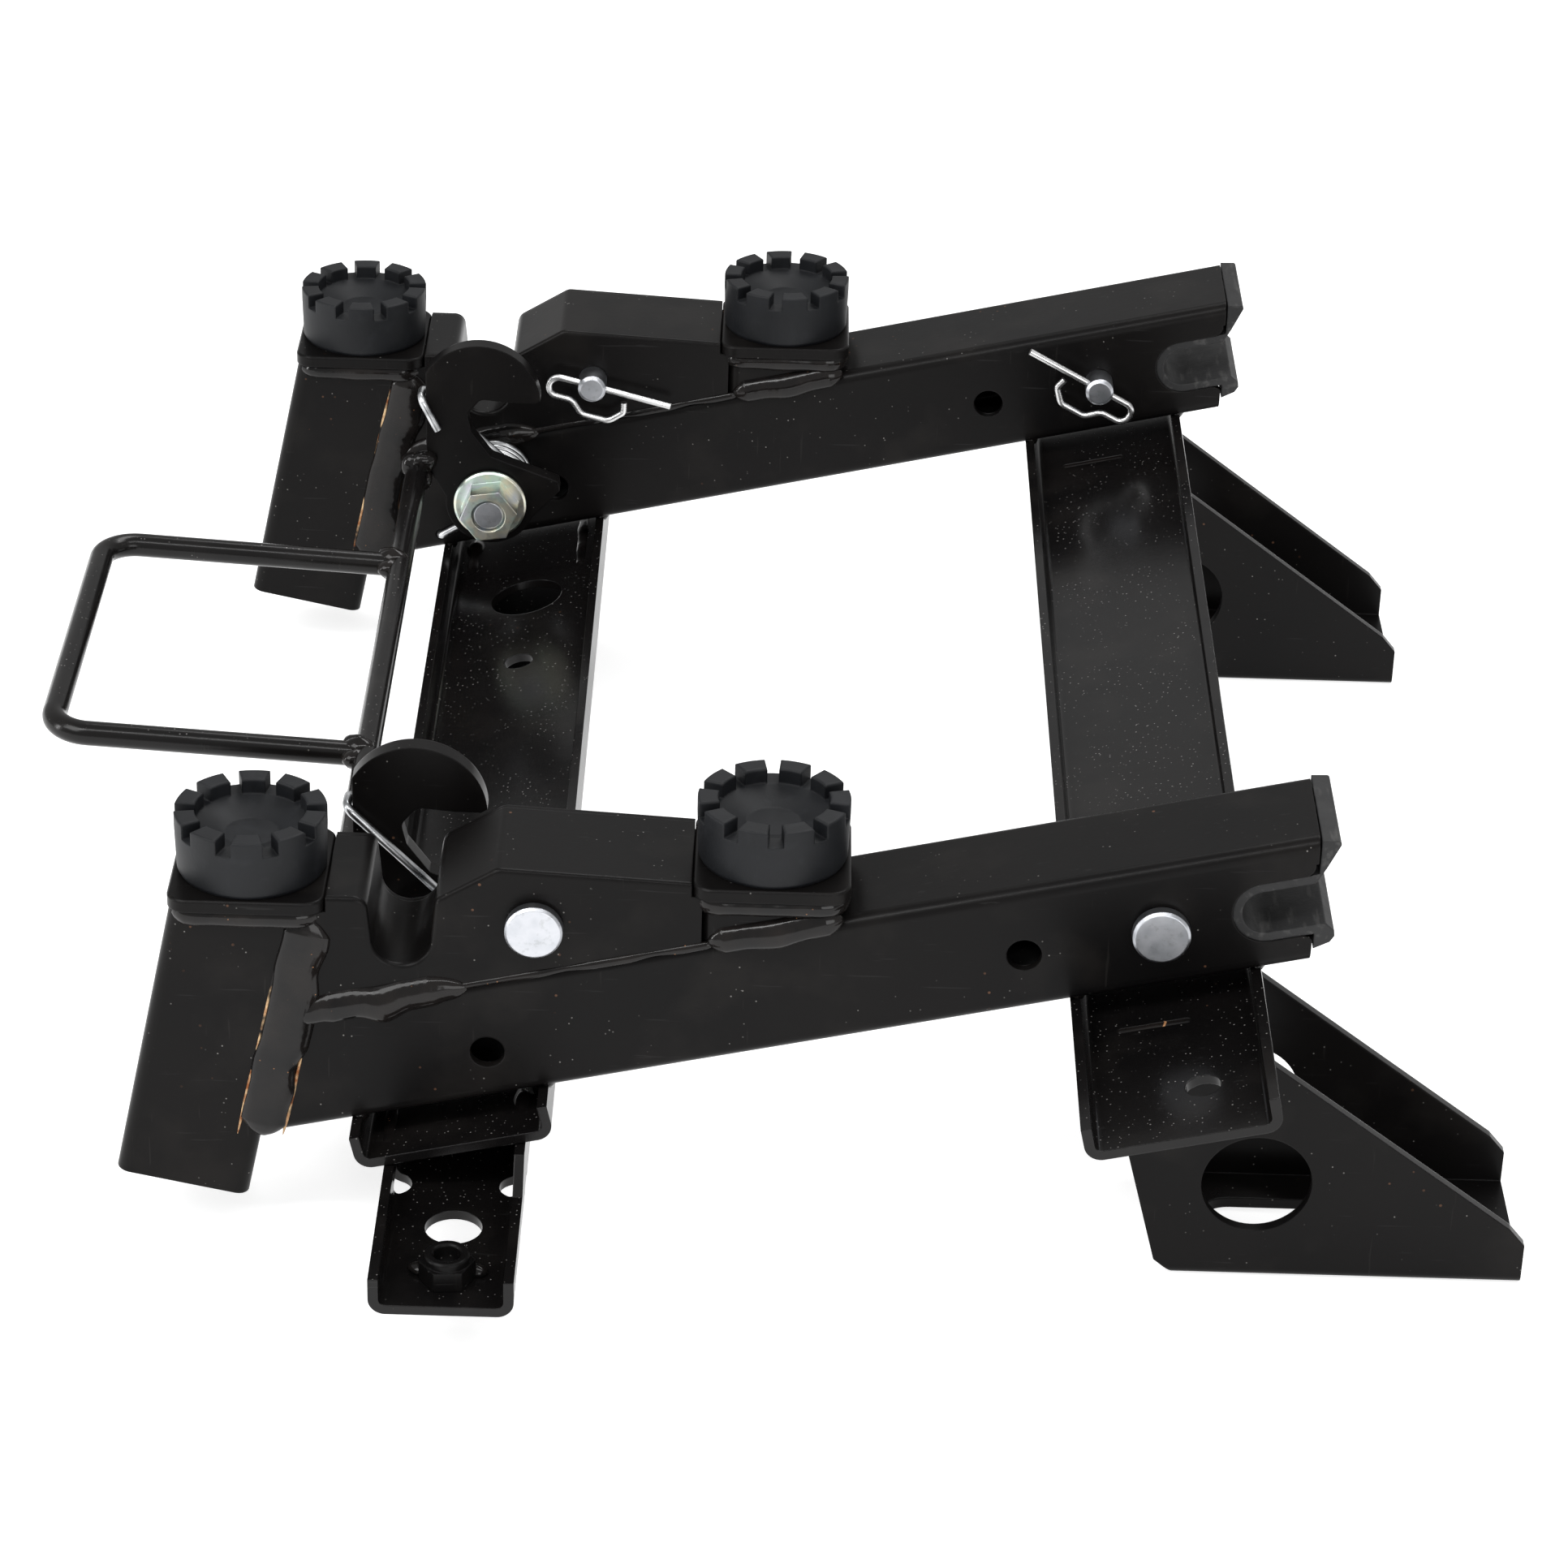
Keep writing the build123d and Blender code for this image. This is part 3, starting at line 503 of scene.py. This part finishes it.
def cap_welds(side, sign):
    """Beads under the rims of the cap plates, round the tube that carries each."""
    for end in ("front", "rear"):
        low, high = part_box(f"cap_plate_{end}_{side}")
        inset = 3.1 * MM
        z = low.z - 2.4 * MM
        xs = (low.x + inset, high.x - inset)
        ys = (low.y + inset, high.y - inset)
        round_corner = 5 * MM
        loop = []
        corners = ((xs[1], ys[1]), (xs[0], ys[1]), (xs[0], ys[0]), (xs[1], ys[0]))
        for corner, (x, y) in enumerate(corners):
            centre = Vector((x - math.copysign(round_corner, x - low.x - 0.02), 0, z))
            centre.y = y - math.copysign(round_corner, y - (low.y + high.y) / 2)
            for step in range(4):
                angle = math.radians(90 * corner + 30 * step)
                loop.append(centre + Vector((math.cos(angle), math.sin(angle), 0)) * round_corner)
        loop.append(loop[0])
        name = f"weld_cap_{end}_{side}"
        down = Vector((0, 0, -1))
        bead(name, loop, 5.8 * MM, 3.3 * MM, down, 37 + sign, blunt=0.02, uneven=0.24)


def channel_welds(side, sign):
    """Beads where the cross channels' flanges meet the rails, and where the brackets meet the channels."""
    for channel, seed in (("front_channel", 41), ("rear_channel", 47)):
        low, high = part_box(channel)
        for end, x in (("a", low.x + 2 * MM), ("b", high.x - 2 * MM)):
            ends = (RAIL_INNER + 2 * MM, RAIL_OUTER - 2 * MM)
            line = [Vector((x, sign * y, rail_under(x))) for y in ends]
            outward = Vector((-1 if end == "a" else 1, 0, -0.4))
            name = f"weld_{channel}_{end}_{side}"
            bead(name, line, 6.5 * MM, 2.6 * MM, outward, seed + sign, blunt=0.3)
    low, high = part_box(f"foot_bracket_{side}")
    for end, x in (("a", low.x + 1 * MM), ("b", high.x - 1 * MM)):
        z = rail_under(x) - CHANNEL_DEPTH / math.cos(RAIL_TILT)
        line = [Vector((x, sign * y * MM, z - 0.6 * MM)) for y in (150, 172, 196, 219)]
        outward = Vector((-1 if end == "a" else 1, 0, 0))
        name = f"weld_foot_{end}_{side}"
        bead(name, line, 8.5 * MM, 3.6 * MM, outward, 53 + sign, blunt=0.3, uneven=0.2)
    low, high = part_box(f"wedge_bracket_{side}")
    for face, y in (("outer", high.y if sign > 0 else low.y), ("inner", low.y if sign > 0 else high.y)):
        xs = (low.x + 3 * MM, low.x + 14 * MM, low.x + 28 * MM)
        line = [Vector((x, y, rail_under(x) - CHANNEL_DEPTH / math.cos(RAIL_TILT))) for x in xs]
        outward = Vector((0, sign if face == "outer" else -sign, 0))
        name = f"weld_wedge_{face}_{side}"
        bead(name, line, 7 * MM, 2.8 * MM, outward, 59 + sign, cracked_weld, blunt=0.3)


def nut_welds(side, sign):
    """Three lumps round the weld nut on the foot bracket."""
    low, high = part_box(f"weld_nut_{side}")
    centre = (low + high) / 2
    for count, angle in enumerate((200, 275, 340)):
        reach = 8.4 * MM
        turn = math.radians(angle * sign)
        x, y = centre.x + reach * math.cos(turn), centre.y + reach * math.sin(turn)
        place = Vector((x, y, low.z + 1.2 * MM))
        blob(f"weld_nut_lump_{count}_{side}", place, (3.6 * MM, 2.6 * MM, 1.9 * MM), 61 + count)


def latch_welds(side, sign):
    """Lumps on the cross rod at the hook and at the handle's arm; they move with the latch."""
    rod_low, rod_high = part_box("cross_rod")
    rod = (rod_low + rod_high) / 2
    hook_low, hook_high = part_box(f"latch_hook_{side}")
    hook_inner = min(abs(hook_low.y), abs(hook_high.y))
    hook_lumps = ((2.4, 3.4), (1.6, -3.2), (-2.0, 2.2))
    handle_lumps = ((-3.2, 4.4, 1.0), (-3.0, -4.4, 0.6), (-2.4, 0.4, 2.4), (-2.8, 0.2, -2.2))
    for count, (dx, dz) in enumerate(hook_lumps):
        place = Vector((rod.x + dx * MM, sign * (hook_inner - 1.6 * MM), rod.z + dz * MM))
        size = (4.6 * MM, 3.6 * MM, 4.2 * MM)
        blob(f"weld_hook_lump_{count}_{side}", place, size, 67 + count, "latch")
    for count, (dx, dy, dz) in enumerate(handle_lumps):
        place = Vector((rod.x + dx * MM, sign * HANDLE_ARM_Y + dy * MM, rod.z + dz * MM))
        size = (4.4 * MM, 3.8 * MM, 3.4 * MM)
        blob(f"weld_handle_lump_{count}_{side}", place, size, 71 + count, "latch")


def stud_welds(side, sign):
    """Ring of weld where the pivot's sleeve meets the rail."""
    low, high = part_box(f"spacer_sleeve_{side}")
    centre = (low + high) / 2
    radius = (high.x - low.x) / 2 + 0.2 * MM
    wall = sign * (RAIL_INNER - 0.3 * MM)
    ring = []
    for step in range(25):
        angle = 2 * math.pi * step / 24
        ring.append(Vector((centre.x + radius * math.cos(angle), wall, centre.z + radius * math.sin(angle))))
    bead(f"weld_sleeve_{side}", ring, 2.0 * MM, 1.0 * MM, Vector((0, -sign, 0)), 79 + sign, blunt=0.02)


for side, sign in SIDES:
    leg_welds(side, sign)
    saddle_welds(side, sign)
    cap_welds(side, sign)
    channel_welds(side, sign)
    nut_welds(side, sign)
    latch_welds(side, sign)
    stud_welds(side, sign)


# ---- studio ----
def pale_floor():
    """Large plain floor under the frame."""
    m = Nodes("studio_floor")
    base = m.ramp(m.noise(0.8, 2), [(0.2, (0.60, 0.60, 0.60)), (0.8, (0.63, 0.63, 0.63))])
    m.finish(base, m.spread(m.noise(3, 2), 0.7, 0.8), Emission_Color=(1, 1, 1, 1), Emission_Strength=0.72)
    half = 9.0
    corners = ((-half, -half), (half, -half), (half, half), (-half, half))
    mesh = bpy.data.meshes.new("studio_floor")
    mesh.from_pydata([(x, y, cad_low.z - 0.05 * MM) for x, y in corners], [], [(0, 1, 2, 3)])
    mesh.materials.append(m.material)
    floor = bpy.data.objects.new("studio_floor", mesh)
    bpy.context.scene.collection.objects.link(floor)


def soft_light(name, place, size, power, target=(0, 0, 0.07)):
    data = bpy.data.lights.new(name, "AREA")
    data.shape = "RECTANGLE"
    data.size, data.size_y = size
    data.energy = power
    light = bpy.data.objects.new(name, data)
    light.location = place
    light.rotation_euler = (Vector(target) - Vector(place)).to_track_quat("-Z", "Y").to_euler()
    bpy.context.scene.collection.objects.link(light)


def studio():
    pale_floor()
    world = bpy.data.worlds.new("studio_world")
    world.use_nodes = True
    world.node_tree.nodes["Background"].inputs["Color"].default_value = (1, 1, 1, 1)
    world.node_tree.nodes["Background"].inputs["Strength"].default_value = 0.55
    bpy.context.scene.world = world
    soft_light("key_softbox", (-1.3, -1.1, 1.9), (1.3, 1.3), 30)
    soft_light("top_strip", (0.6, 0.9, 2.1), (2.0, 0.6), 26)
    soft_light("front_fill", (0.9, -2.2, 0.7), (1.6, 0.9), 16)
    soft_light("left_glint", (-1.9, -0.5, 0.55), (0.25, 0.9), 9)
    soft_light("crest_strip", (0.1, -0.95, 1.8), (1.8, 0.14), 10)


def camera():
    """Long lens from the front left, 29 degrees above the horizon."""
    azimuth, elevation, roll = (math.radians(a) for a in (-0.32, 29.19, -1.82))
    ahead_x = -math.sin(azimuth) * math.cos(elevation)
    ahead_y = math.cos(azimuth) * math.cos(elevation)
    forward = Vector((ahead_x, ahead_y, -math.sin(elevation)))
    right = Vector((math.cos(azimuth), math.sin(azimuth), 0))
    down = forward.cross(right)
    rolled_right = right * math.cos(roll) + down * math.sin(roll)
    rolled_down = down * math.cos(roll) - right * math.sin(roll)
    turn = Matrix((rolled_right, -rolled_down, -forward)).transposed()
    data = bpy.data.cameras.new("camera")
    data.sensor_width = 36
    data.lens = 110.2
    data.clip_end = 50
    view = bpy.data.objects.new("camera", data)
    view.matrix_world = Matrix.Translation((-0.0009, -1.4091, 0.83)) @ turn.to_4x4()
    bpy.context.scene.collection.objects.link(view)
    bpy.context.scene.camera = view


studio()
camera()
bpy.context.scene.view_settings.view_transform = "Standard"
